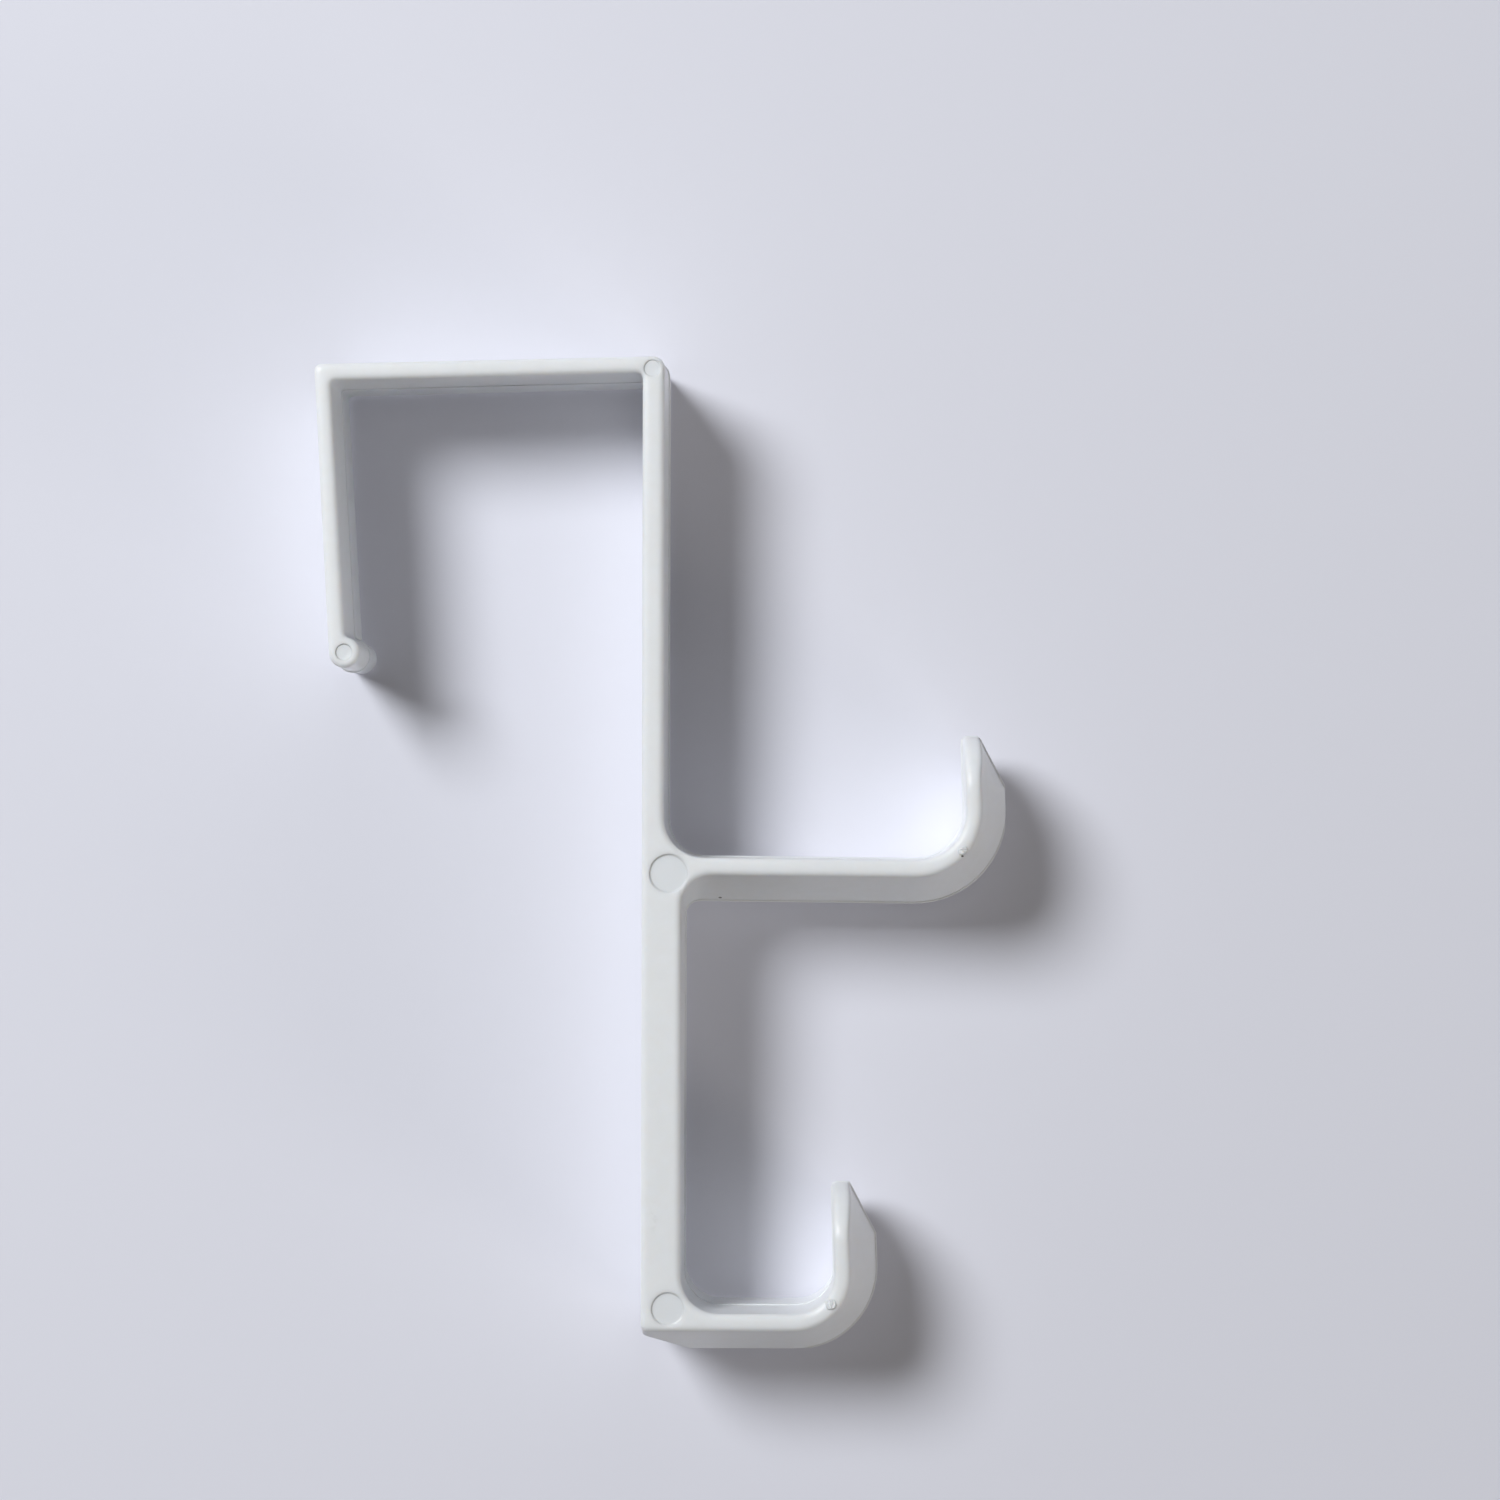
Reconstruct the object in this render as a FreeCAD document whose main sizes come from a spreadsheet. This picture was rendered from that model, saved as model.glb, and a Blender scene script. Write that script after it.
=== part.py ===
import FreeCAD, Part
import math
import os
import re

import Sketcher

# Over-door hook, one moulding: a bracket that grips the top of a door (top plate, and a back leg
# with a bead at its end), an upright strip down the door's face, a long hook half way down it and a
# short one at its foot. X runs from the door towards the hooks, Y across the strip's width, Z up.
# The origin is where the door's face meets its top edge, at mid-width.
#
# The two halves of the mould meet on the plane Y = 0. From the outer edges to that plane every side
# of the section rises by draft_rise, apart from the strip's back, which lies flat on the door. The
# outer side of each hook swells by belly_depth, so that a hook is a thin edge with a keel behind it.
# Thicknesses and corner radii are those of the two flat side faces. The top plate drops towards the
# back leg, and the leg leans in, so that the bracket grips the door.

SIZES = {
    "strip_width": 19.0,
    "draft_rise": 0.12,
    "edge_round": 0.6,
    # bracket over the door
    "plate_span": 37.7,
    "plate_thickness": 2.0,
    "plate_drop": 1.05,
    "plate_corner": 1.4,
    "door_corner": 0.7,
    "leg_thickness": 2.05,
    "leg_set": 1.85,
    "leg_corner": 0.8,
    "leg_fillet": 0.6,
    "bead_level": 33.9,
    "bead_radius": 1.88,
    "bead_blend": 0.6,
    # upright strip, thinner above the upper hook than below it
    "upper_thickness": 2.66,
    "lower_thickness": 4.8,
    "root_fillet": 4.9,
    "under_fillet": 3.8,
    "keel_fillet": 1.8,
    "foot_fillet": 4.6,
    "heel_corner": 0.85,
    # hooks: levels are below the door's top edge, reaches are clear widths inside the hooks
    "arm_thickness": 1.95,
    "arm_sag": 0.35,
    "upper_level": 58.7,
    "upper_reach": 36.9,
    "upper_bend": 6.0,
    "upper_rise": 15.2,
    "lower_level": 114.1,
    "lower_reach": 18.85,
    "lower_bend": 4.8,
    "lower_rise": 15.6,
    "tip_thickness": 1.7,
    "tip_set": 0.42,
    # keel on the hooks' outer side, and the slope that starts it at the strip's heel
    "belly_depth": 3.3,
    "belly_run": 5.6,
    "belly_start": 0.75,
    # tongue-shaped end of each tip; the keel slants off from the tongue's foot to the tip
    "tongue_rise": 6.4,
    "tongue_drop": 0.3,
    "tongue_corner": 4.6,
    # round marks that the ejector pins leave in one side face
    "pin_depth": 0.15,
    "pin_inset": 1.5,
    "pin_lift": 0.65,
    "small_pin": 1.04,
    "upper_pin": 2.4,
    "lower_pin": 2.05,
}

# Corners of the side faces' outline, clockwise from above the back leg: name, place in X and Z, how
# far the side that leads on from the corner rises at the parting plane, the corner's radius, and how
# much that radius grows there. The two slants are points on a straight side, where the keel ends.
CORNERS = [
    ("leg_crown", "leg_root_x - leg_thickness", "draft_rise + plate_thickness - plate_drop",
     "draft_rise", "leg_corner", "draft_rise"),
    ("strip_crown", "upper_thickness", "draft_rise + plate_thickness",
     "draft_rise", "plate_corner", "draft_rise"),
    ("upper_root", "upper_thickness", "-upper_level",
     "draft_rise", "root_fillet", "-draft_rise"),
    ("upper_elbow", "upper_thickness + upper_reach", "-upper_level - arm_sag",
     "draft_rise", "upper_bend", "-draft_rise"),
    ("upper_tip_inner", "upper_elbow_x - tip_set", "-upper_level + upper_rise",
     "0", "", ""),
    ("upper_tip_outer", "upper_tip_inner_x + tip_thickness", "upper_tip_inner_z",
     "draft_rise", "", ""),
    ("upper_slant", "upper_tip_outer_x + (upper_keel_x - upper_tip_outer_x)"
     " * (tongue_rise + tongue_drop) / (upper_tip_outer_z - upper_keel_z)", "upper_tongue_foot",
     "belly_depth", "", ""),
    ("upper_keel", "upper_elbow_x + arm_thickness", "upper_elbow_z - arm_thickness",
     "belly_depth", "upper_bend + arm_thickness", "belly_depth"),
    ("under_root", "lower_thickness", "-upper_level - arm_thickness",
     "draft_rise", "under_fillet", "keel_fillet - under_fillet"),
    ("foot_root", "lower_thickness", "-lower_level",
     "draft_rise", "foot_fillet", "-draft_rise"),
    ("lower_elbow", "lower_thickness + lower_reach", "-lower_level",
     "draft_rise", "lower_bend", "-draft_rise"),
    ("lower_tip_inner", "lower_elbow_x - tip_set", "-lower_level + lower_rise",
     "0", "", ""),
    ("lower_tip_outer", "lower_tip_inner_x + tip_thickness", "lower_tip_inner_z",
     "draft_rise", "", ""),
    ("lower_slant", "lower_tip_outer_x + (lower_keel_x - lower_tip_outer_x)"
     " * (tongue_rise + tongue_drop) / (lower_tip_outer_z - lower_keel_z)", "lower_tongue_foot",
     "belly_depth", "", ""),
    ("lower_keel", "lower_elbow_x + arm_thickness", "lower_elbow_z - arm_thickness",
     "belly_depth", "lower_bend + arm_thickness", "belly_depth"),
    ("strip_heel", "0", "lower_keel_z",
     "0", "heel_corner", "0"),
    ("door_edge", "0", "draft_rise",
     "draft_rise", "door_corner", "-draft_rise"),
    ("leg_root", "-plate_span - draft_rise", "draft_rise - plate_drop",
     "draft_rise", "leg_fillet", "-draft_rise"),
    ("leg_foot_inner", "leg_root_x + leg_set", "-bead_level",
     "draft_rise", "bead_blend", "-draft_rise"),
    ("leg_foot_outer", "leg_foot_inner_x - leg_thickness", "-bead_level",
     "draft_rise", "bead_radius", "draft_rise"),
]
NAMES = [corner[0] for corner in CORNERS]
SLANTS = ("upper_slant", "lower_slant")

# Places that the other features take from the outline.
PLACES = {
    "upper_tongue_top": "upper_tip_outer_z - tongue_drop",
    "upper_tongue_foot": "upper_tongue_top - tongue_rise",
    "lower_tongue_top": "lower_tip_outer_z - tongue_drop",
    "lower_tongue_foot": "lower_tongue_top - tongue_rise",
    "heel_start": "strip_heel_z - belly_start",
    "heel_finish": "strip_heel_z - belly_depth",
    "bead_pin_x": "leg_foot_outer_x + bead_radius",
    "bead_pin_z": "-bead_level",
    "crown_pin_x": "upper_thickness - pin_inset",
    "crown_pin_z": "draft_rise + plate_thickness - pin_inset",
    "upper_pin_x": "lower_thickness - pin_inset",
    "upper_pin_z": "-upper_level - arm_thickness",
    "lower_pin_x": "lower_thickness - pin_inset",
    "lower_pin_z": "-lower_level + pin_lift",
}
PIN_MARKS = {"bead_pin": "small_pin", "crown_pin": "small_pin",
             "upper_pin": "upper_pin", "lower_pin": "lower_pin"}


def bound(text):
    """Name the owner of each size in a formula, so that it reads as an expression."""
    def owner(match):
        word = match.group(0)
        return ("Sizes." if word in SIZES else "Layout.") + word
    return re.sub(r"[a-z]+(?:_[a-z]+)+", owner, text)


def vector(x, z):
    """Point of a sketch on the plane of the outline."""
    return FreeCAD.Vector(x, z, 0)


def add_sheet(doc):
    """Write the driving sizes to the sheet, each with its own alias."""
    sheet = doc.addObject("Spreadsheet::Sheet", "Sizes")
    for row, (name, number) in enumerate(SIZES.items(), start=1):
        sheet.set(f"A{row}", name)
        sheet.set(f"B{row}", str(number))
        sheet.setAlias(f"B{row}", name)
    doc.recompute()
    return sheet


def standoff(before, name, after, arriving_rise, leaving_rise):
    """Formulas for how far a corner moves when its two sides rise and stay parallel."""
    if name in SLANTS:
        return (f"{leaving_rise} * ({before}_z - {name}_z) / {before}_run",
                f"{leaving_rise} * ({name}_x - {before}_x) / {before}_run")
    turn = (f"(({name}_x - {before}_x) * ({after}_z - {name}_z)"
            f" - ({name}_z - {before}_z) * ({after}_x - {name}_x))")
    return tuple(f"({arriving_rise} * ({after}_{axis} - {name}_{axis}) * {before}_run"
                 f" - {leaving_rise} * ({name}_{axis} - {before}_{axis}) * {name}_run) / {turn}"
                 for axis in "xz")


def add_layout(doc):
    """Derive the place and radius of every corner, on both outlines, from the sheet."""
    formulas = {}
    for index, (name, x, z, rise, radius, growth) in enumerate(CORNERS):
        before = NAMES[index - 1]
        after = NAMES[(index + 1) % len(NAMES)]
        moved = standoff(before, name, after, CORNERS[index - 1][3], rise)
        formulas[f"{name}_x"] = x
        formulas[f"{name}_z"] = z
        formulas[f"{name}_run"] = f"sqrt(({after}_x - {name}_x)^2 + ({after}_z - {name}_z)^2)"
        formulas[f"parting_{name}_x"] = f"{name}_x + {moved[0]}"
        formulas[f"parting_{name}_z"] = f"{name}_z + {moved[1]}"
        if radius:
            formulas[f"{name}_radius"] = radius
            formulas[f"parting_{name}_radius"] = f"{name}_radius + ({growth})"
    formulas.update(PLACES)
    layout = doc.addObject("App::VarSet", "Layout")
    for key in formulas:
        layout.addProperty("App::PropertyFloat", key, "Outline")
    for key, text in formulas.items():
        layout.setExpression(key, bound(text))
    doc.recompute()
    return layout


def plane_of(body, role):
    """Find one of the body's own origin planes by its role."""
    return next(item for item in body.Origin.OriginFeatures if item.Role == role)


def add_sketch(body, name, role, offset):
    """Attach a sketch to an origin plane, lifted along the plane's normal by a formula."""
    sketch = body.newObject("Sketcher::SketchObject", name)
    sketch.AttachmentSupport = [(plane_of(body, role), "")]
    sketch.MapMode = "FlatFace"
    sketch.setExpression("AttachmentOffset.Base.z", bound(offset))
    return sketch


def rule(sketch, kind, *where):
    """Add a geometric constraint."""
    sketch.addConstraint(Sketcher.Constraint(kind, *where))


def drive(sketch, formula, kind, *where):
    """Add a dimension, whose present value comes last in where, and bind it to a formula."""
    row = sketch.addConstraint(Sketcher.Constraint(kind, *where))
    sketch.setExpression(f"Constraints[{row}]", bound(formula))


def draw_polygon(sketch, points):
    """Draw a closed run of straight sides and return them in order."""
    sides = [sketch.addGeometry(Part.LineSegment(here, there))
             for here, there in zip(points, points[1:] + points[:1])]
    for here, there in zip(sides, sides[1:] + sides[:1]):
        rule(sketch, "Coincident", here, 2, there, 1)
    return sides


def draw_arc(sketch, centre, radius, enter, leave, clockwise):
    """Draw an arc and return it with which of its ends is entered and which is left."""
    start, finish = (leave, enter) if clockwise else (enter, leave)
    start_angle = math.atan2(start.y - centre.y, start.x - centre.x)
    finish_angle = math.atan2(finish.y - centre.y, finish.x - centre.x)
    if finish_angle < start_angle:
        finish_angle += 2 * math.pi
    circle = Part.Circle(centre, FreeCAD.Vector(0, 0, 1), radius)
    arc = sketch.addGeometry(Part.ArcOfCircle(circle, start_angle, finish_angle))
    return (arc, 2, 1) if clockwise else (arc, 1, 2)


class Outline:
    """The closed outline of the side faces, or of the parting plane, drawn into a sketch."""

    INNER_RUN = ("leg_root", "leg_foot_inner")
    OUTER_RUN = ("leg_foot_outer", "leg_crown")

    def __init__(self, sketch, layout, prefix):
        self.sketch = sketch
        self.layout = layout
        self.prefix = prefix
        self.points = {name: vector(self.value(name, "x"), self.value(name, "z")) for name in NAMES}
        self.rounded = [corner[0] for corner in CORNERS if corner[4]]
        # The bead stands between the two last corners, which only aim the leg's sides.
        self.turns = NAMES[:-2]
        self.runs = [run for run in zip(NAMES, NAMES[1:] + NAMES[:1]) if run != tuple(NAMES[-2:])]
        self.starts = {run: self.points[run[0]] for run in self.runs}
        self.ends = {run: self.points[run[1]] for run in self.runs}

    def value(self, name, part):
        """Present value of one of a corner's derived sizes."""
        return self.layout.getPropertyByName(f"{self.prefix}{name}_{part}")

    def runs_at(self, name):
        """The straight runs that lead to a corner and away from it."""
        before = next(run for run in self.runs if run[1] == name)
        after = next(run for run in self.runs if run[0] == name)
        return before, after

    def place(self, name, geometry):
        """Fix a point's place to the corner's derived place."""
        for kind, axis in (("DistanceX", "x"), ("DistanceY", "z")):
            drive(self.sketch, f"{self.prefix}{name}_{axis}", kind,
                  -1, 1, geometry, 1, self.value(name, axis))

    def mark(self, name, *lines):
        """Fix the sharp corner of a rounded turn as a construction point that its runs aim at."""
        point = self.sketch.addGeometry(Part.Point(self.points[name]), True)
        self.place(name, point)
        for line in lines:
            rule(self.sketch, "PointOnObject", point, 1, line)

    def size(self, name, arc):
        """Bind an arc's radius to the corner's derived radius."""
        drive(self.sketch, f"{self.prefix}{name}_radius", "Radius", arc, self.value(name, "radius"))

    def round_turns(self):
        """Shorten the runs at each rounded corner and find where its arc is centred."""
        centres = {}
        for name in self.turns:
            if name not in self.rounded:
                continue
            before, after = self.runs_at(name)
            corner = self.points[name]
            back = (self.points[before[0]] - corner).normalize()
            ahead = (self.points[after[1]] - corner).normalize()
            half = back.getAngle(ahead) / 2
            radius = self.value(name, "radius")
            self.ends[before] = corner + back * (radius / math.tan(half))
            self.starts[after] = corner + ahead * (radius / math.tan(half))
            centres[name] = corner + (back + ahead).normalize() * (radius / math.sin(half))
        return centres

    def place_bead(self):
        """Set the bead against the leg's outer side and its blend against the inner side."""
        bead = self.value("leg_foot_outer", "radius")
        blend = self.value("leg_foot_inner", "radius")
        foot_inner = self.points["leg_foot_inner"]
        foot_outer = self.points["leg_foot_outer"]
        up_outer = (self.points["leg_crown"] - foot_outer).normalize()
        up_inner = (self.points["leg_root"] - foot_inner).normalize()
        inward = vector(up_outer.y, -up_outer.x)
        outward = vector(up_inner.y, -up_inner.x)
        level = -SIZES["bead_level"] - foot_outer.y
        touch = foot_outer + up_outer * ((level - inward.y * bead) / up_outer.y)
        bead_centre = touch + inward * bead
        offset = foot_inner + outward * blend - bead_centre
        across = offset.dot(up_inner)
        along = math.sqrt(across ** 2 - offset.dot(offset) + (bead + blend) ** 2) - across
        blend_centre = bead_centre + offset + up_inner * along
        meeting = bead_centre + (blend_centre - bead_centre) * (bead / (bead + blend))
        self.ends[self.INNER_RUN] = blend_centre - outward * blend
        self.starts[self.OUTER_RUN] = touch
        return bead_centre, blend_centre, meeting

    def draw(self):
        """Draw and constrain the whole outline."""
        centres = self.round_turns()
        bead_centre, blend_centre, meeting = self.place_bead()
        lines = {}
        for run in self.runs:
            lines[run] = self.sketch.addGeometry(Part.LineSegment(self.starts[run], self.ends[run]))
        for name in self.turns:
            before, after = self.runs_at(name)
            if name not in self.rounded:
                rule(self.sketch, "Coincident", lines[before], 2, lines[after], 1)
                self.place(name, lines[after])
                continue
            arriving = self.points[name] - self.points[before[0]]
            leaving = self.points[after[1]] - self.points[name]
            clockwise = arriving.cross(leaving).z < 0
            arc, enter, leave = draw_arc(self.sketch, centres[name], self.value(name, "radius"),
                                         self.ends[before], self.starts[after], clockwise)
            rule(self.sketch, "Tangent", lines[before], 2, arc, enter)
            rule(self.sketch, "Tangent", arc, leave, lines[after], 1)
            self.size(name, arc)
            self.mark(name, lines[before], lines[after])
        self.draw_bead(lines, bead_centre, blend_centre, meeting)

    def draw_bead(self, lines, bead_centre, blend_centre, meeting):
        """Close the outline round the bead at the foot of the back leg."""
        inner = lines[self.INNER_RUN]
        outer = lines[self.OUTER_RUN]
        blend_radius = self.value("leg_foot_inner", "radius")
        bead_radius = self.value("leg_foot_outer", "radius")
        blend, blend_in, blend_out = draw_arc(self.sketch, blend_centre, blend_radius,
                                              self.ends[self.INNER_RUN], meeting, False)
        bead, bead_in, bead_out = draw_arc(self.sketch, bead_centre, bead_radius,
                                           meeting, self.starts[self.OUTER_RUN], True)
        rule(self.sketch, "Tangent", inner, 2, blend, blend_in)
        rule(self.sketch, "Tangent", blend, blend_out, bead, bead_in)
        rule(self.sketch, "Tangent", bead, bead_out, outer, 1)
        self.size("leg_foot_inner", blend)
        self.size("leg_foot_outer", bead)
        self.mark("leg_foot_inner", inner)
        self.mark("leg_foot_outer", outer)
        drive(self.sketch, "-bead_level", "DistanceY", -1, 1, bead, 3, bead_centre.y)


def add_half_loft(doc, body, layout):
    """Start the body from one half: ruled, drafted sides from the side face to the parting plane."""
    side = add_sketch(body, "SideOutline", "XZ_Plane", "strip_width / 2")
    Outline(side, layout, "").draw()
    parting = add_sketch(body, "PartingOutline", "XZ_Plane", "0")
    Outline(parting, layout, "parting_").draw()
    doc.recompute()
    loft = doc.addObject("Part::Loft", "HalfLoft")
    loft.Sections = [side, parting]
    loft.Solid = True
    loft.Ruled = True
    loft.Linearize = True
    doc.recompute()
    body.BaseFeature = loft
    doc.recompute()


def cut(doc, body, name, sketch, length):
    """Cut a sketch's area out of the body to both sides of its plane, and prove that it cut."""
    pocket = body.newObject("PartDesign::Pocket", name)
    pocket.Profile = sketch
    pocket.SideType = "Symmetric"
    pocket.setExpression("Length", bound(length))
    doc.recompute()
    if pocket.Shape.Volume >= pocket.BaseFeature.Shape.Volume:
        raise ValueError(f"{name} removes nothing")
    return pocket


def add_tongue(doc, body, layout, hook):
    """Round a hook's tip as seen from the front: a low crown between two corner arcs."""
    sketch = add_sketch(body, f"{hook.capitalize()}TongueOutline", "YZ_Plane", f"{hook}_tip_outer_x")
    half = SIZES["strip_width"] / 2
    corner = SIZES["tongue_corner"]
    rise = SIZES["tongue_rise"]
    margin = SIZES["strip_width"] / 4
    top = layout.getPropertyByName(f"{hook}_tongue_top")
    foot = layout.getPropertyByName(f"{hook}_tongue_foot")
    crown = ((half - corner) ** 2 + rise ** 2 - corner ** 2) / (2 * (rise - corner))
    left_centre = vector(corner - half, foot)
    right_centre = vector(half - corner, foot)
    crown_centre = vector(0, top - crown)
    left_meeting = left_centre + (left_centre - crown_centre).normalize() * corner
    right_meeting = right_centre + (right_centre - crown_centre).normalize() * corner
    left_foot = vector(-half, foot)
    right_foot = vector(half, foot)
    left = draw_arc(sketch, left_centre, corner, left_foot, left_meeting, True)[0]
    middle = draw_arc(sketch, crown_centre, crown, left_meeting, right_meeting, True)[0]
    right = draw_arc(sketch, right_centre, corner, right_meeting, right_foot, True)[0]
    corners = [right_foot, vector(half + margin, foot), vector(half + margin, top + margin),
               vector(-half - margin, top + margin), vector(-half - margin, foot), left_foot]
    sides = [sketch.addGeometry(Part.LineSegment(here, there)) for here, there in zip(corners, corners[1:])]
    peak = sketch.addGeometry(Part.Point(vector(0, top)), True)
    rule(sketch, "Tangent", left, 1, middle, 2)
    rule(sketch, "Tangent", middle, 1, right, 2)
    rule(sketch, "Coincident", right, 1, sides[0], 1)
    for here, there in zip(sides, sides[1:]):
        rule(sketch, "Coincident", here, 2, there, 1)
    rule(sketch, "Coincident", sides[-1], 2, left, 2)
    for side in (sides[0], sides[2], sides[4]):
        rule(sketch, "Horizontal", side)
    for side in (sides[1], sides[3]):
        rule(sketch, "Vertical", side)
    rule(sketch, "Equal", left, right)
    rule(sketch, "Equal", sides[0], sides[4])
    rule(sketch, "Horizontal", left, 3, left, 2)
    rule(sketch, "Horizontal", right, 3, right, 1)
    rule(sketch, "Horizontal", left, 2, right, 1)
    rule(sketch, "PointOnObject", middle, 3, -2)
    rule(sketch, "PointOnObject", peak, 1, -2)
    rule(sketch, "PointOnObject", peak, 1, middle)
    drive(sketch, "tongue_corner", "Radius", left, corner)
    drive(sketch, "strip_width", "DistanceX", left, 2, right, 1, 2 * half)
    drive(sketch, f"{hook}_tongue_foot", "DistanceY", -1, 1, left, 2, foot)
    drive(sketch, "tongue_rise", "DistanceY", left, 2, peak, 1, rise)
    drive(sketch, "strip_width / 4", "DistanceX", sides[0], 1, sides[0], 2, margin)
    drive(sketch, "tongue_rise + strip_width / 4", "DistanceY", left, 2, sides[3], 1, rise + margin)
    doc.recompute()
    return cut(doc, body, f"{hook.capitalize()}Tongue", sketch, "4 * belly_depth")


def add_heel_cut(doc, body, layout):
    """Cut the lower keel back along a slope, so that it starts from nothing at the door side."""
    sketch = add_sketch(body, "HeelSlope", "XZ_Plane", "0")
    run = SIZES["belly_run"]
    start = vector(0, layout.heel_start)
    finish = vector(run, layout.heel_finish)
    slope = finish - start
    low = finish.y - SIZES["belly_depth"]
    sides = draw_polygon(sketch, [start - slope, finish + slope, vector(2 * run, low), vector(-run, low)])
    first = sketch.addGeometry(Part.Point(start), True)
    last = sketch.addGeometry(Part.Point(finish), True)
    rule(sketch, "PointOnObject", first, 1, -2)
    rule(sketch, "PointOnObject", first, 1, sides[0])
    rule(sketch, "PointOnObject", last, 1, sides[0])
    rule(sketch, "Vertical", sides[1])
    rule(sketch, "Horizontal", sides[2])
    rule(sketch, "Vertical", sides[3])
    drive(sketch, "heel_start", "DistanceY", -1, 1, first, 1, start.y)
    drive(sketch, "belly_run", "DistanceX", -1, 1, last, 1, run)
    drive(sketch, "heel_finish", "DistanceY", -1, 1, last, 1, finish.y)
    drive(sketch, "-belly_run", "DistanceX", -1, 1, sides[0], 1, -run)
    drive(sketch, "2 * belly_run", "DistanceX", -1, 1, sides[0], 2, 2 * run)
    drive(sketch, "heel_finish - belly_depth", "DistanceY", -1, 1, sides[2], 1, low)
    doc.recompute()
    return cut(doc, body, "HeelCut", sketch, "2 * strip_width")


def side_face_edges(shape, layout):
    """Name the edges round the side face, but not the lines where a tongue leaves it smoothly."""
    side = -SIZES["strip_width"] / 2
    feet = (layout.upper_tongue_foot, layout.lower_tongue_foot)
    names = []
    for number, edge in enumerate(shape.Edges, start=1):
        box = edge.BoundBox
        on_side = abs(box.YMin - side) < 1e-5 and abs(box.YMax - side) < 1e-5
        at_foot = box.ZLength < 1e-5 and min(abs(box.ZMin - foot) for foot in feet) < 1e-4
        if on_side and not at_foot:
            names.append(f"Edge{number}")
    return names


def add_pin_marks(doc, body, layout):
    """Sink the round ejector-pin marks into the side face on the mould's ejector side."""
    sketch = add_sketch(body, "PinMarkOutline", "XZ_Plane", "strip_width / 2")
    for name, radius in PIN_MARKS.items():
        centre = vector(layout.getPropertyByName(f"{name}_x"), layout.getPropertyByName(f"{name}_z"))
        circle = sketch.addGeometry(Part.Circle(centre, FreeCAD.Vector(0, 0, 1), SIZES[radius]))
        drive(sketch, f"{name}_x", "DistanceX", -1, 1, circle, 3, centre.x)
        drive(sketch, f"{name}_z", "DistanceY", -1, 1, circle, 3, centre.y)
        drive(sketch, radius, "Radius", circle, SIZES[radius])
    doc.recompute()
    return cut(doc, body, "PinMarks", sketch, "2 * pin_depth")


def add_hook(doc, layout):
    """Build one half of the moulding, round its edges, mirror it and mark the pins."""
    body = doc.addObject("PartDesign::Body", "DoorHook")
    body.Label = "door_hook"
    doc.recompute()
    add_half_loft(doc, body, layout)
    add_tongue(doc, body, layout, "upper")
    add_tongue(doc, body, layout, "lower")
    sharp = add_heel_cut(doc, body, layout)
    rounded = body.newObject("PartDesign::Fillet", "EdgeRound")
    rounded.Base = (sharp, side_face_edges(sharp.Shape, layout))
    rounded.setExpression("Radius", bound("edge_round"))
    doc.recompute()
    whole = body.newObject("PartDesign::Mirrored", "BothHalves")
    whole.TransformMode = "Whole shape"
    whole.MirrorPlane = (plane_of(body, "XZ_Plane"), [""])
    body.Tip = whole
    doc.recompute()
    add_pin_marks(doc, body, layout)
    body.Placement = FreeCAD.Placement()
    return body


def check(doc, body):
    """Stop if any object failed, or the body is not one valid closed solid."""
    for item in doc.Objects:
        if {"Invalid", "Error"} & set(item.State):
            raise ValueError(f"{item.Name} failed: {item.State}")
    shape = body.Shape
    if shape.isNull() or not shape.isValid() or len(shape.Solids) != 1:
        raise ValueError(f"{body.Label} is not one valid solid")


def main():
    """Build the document and write the part's file."""
    os.makedirs("parts", exist_ok=True)
    doc = FreeCAD.newDocument("over_door_hook")
    add_sheet(doc)
    layout = add_layout(doc)
    hook = add_hook(doc, layout)
    doc.recompute()
    check(doc, hook)
    hook.Shape.exportStep(f"parts/{hook.Label}.step")


main()
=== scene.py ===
import logging
import math
from dataclasses import dataclass
from enum import Enum

import bmesh
import bpy
from mathutils import Matrix, Vector


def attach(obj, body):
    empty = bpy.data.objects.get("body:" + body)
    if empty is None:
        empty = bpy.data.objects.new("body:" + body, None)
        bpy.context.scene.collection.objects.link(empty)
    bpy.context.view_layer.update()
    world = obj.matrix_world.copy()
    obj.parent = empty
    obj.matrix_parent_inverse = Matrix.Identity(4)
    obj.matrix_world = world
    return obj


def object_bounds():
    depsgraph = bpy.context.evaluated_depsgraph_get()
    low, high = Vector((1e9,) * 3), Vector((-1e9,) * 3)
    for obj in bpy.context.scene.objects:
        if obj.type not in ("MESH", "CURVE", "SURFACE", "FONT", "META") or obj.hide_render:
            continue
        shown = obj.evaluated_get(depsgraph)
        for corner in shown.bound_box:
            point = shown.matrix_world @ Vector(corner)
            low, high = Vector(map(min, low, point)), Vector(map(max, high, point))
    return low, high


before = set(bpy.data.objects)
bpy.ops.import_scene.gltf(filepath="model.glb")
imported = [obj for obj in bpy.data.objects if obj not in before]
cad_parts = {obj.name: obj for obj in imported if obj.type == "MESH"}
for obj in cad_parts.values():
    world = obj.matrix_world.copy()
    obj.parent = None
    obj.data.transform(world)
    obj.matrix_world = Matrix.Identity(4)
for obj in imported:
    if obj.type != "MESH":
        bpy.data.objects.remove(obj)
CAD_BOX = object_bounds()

# A one-piece over-door hook in glossy white plastic. The frame holds the moulding itself: X runs out
# of the door's face, Y across the strip and Z up, with the origin on the door's top front edge. This
# file gives the moulding its finish, adds the witness line where the two halves of the mould met, and
# sets up the studio. Lengths are in millimetres until they are handed to Blender.

MM = 0.001
NODE = "door_hook"
BODY = "root"
SIDE_FACE = CAD_BOX[0].y / MM

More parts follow.
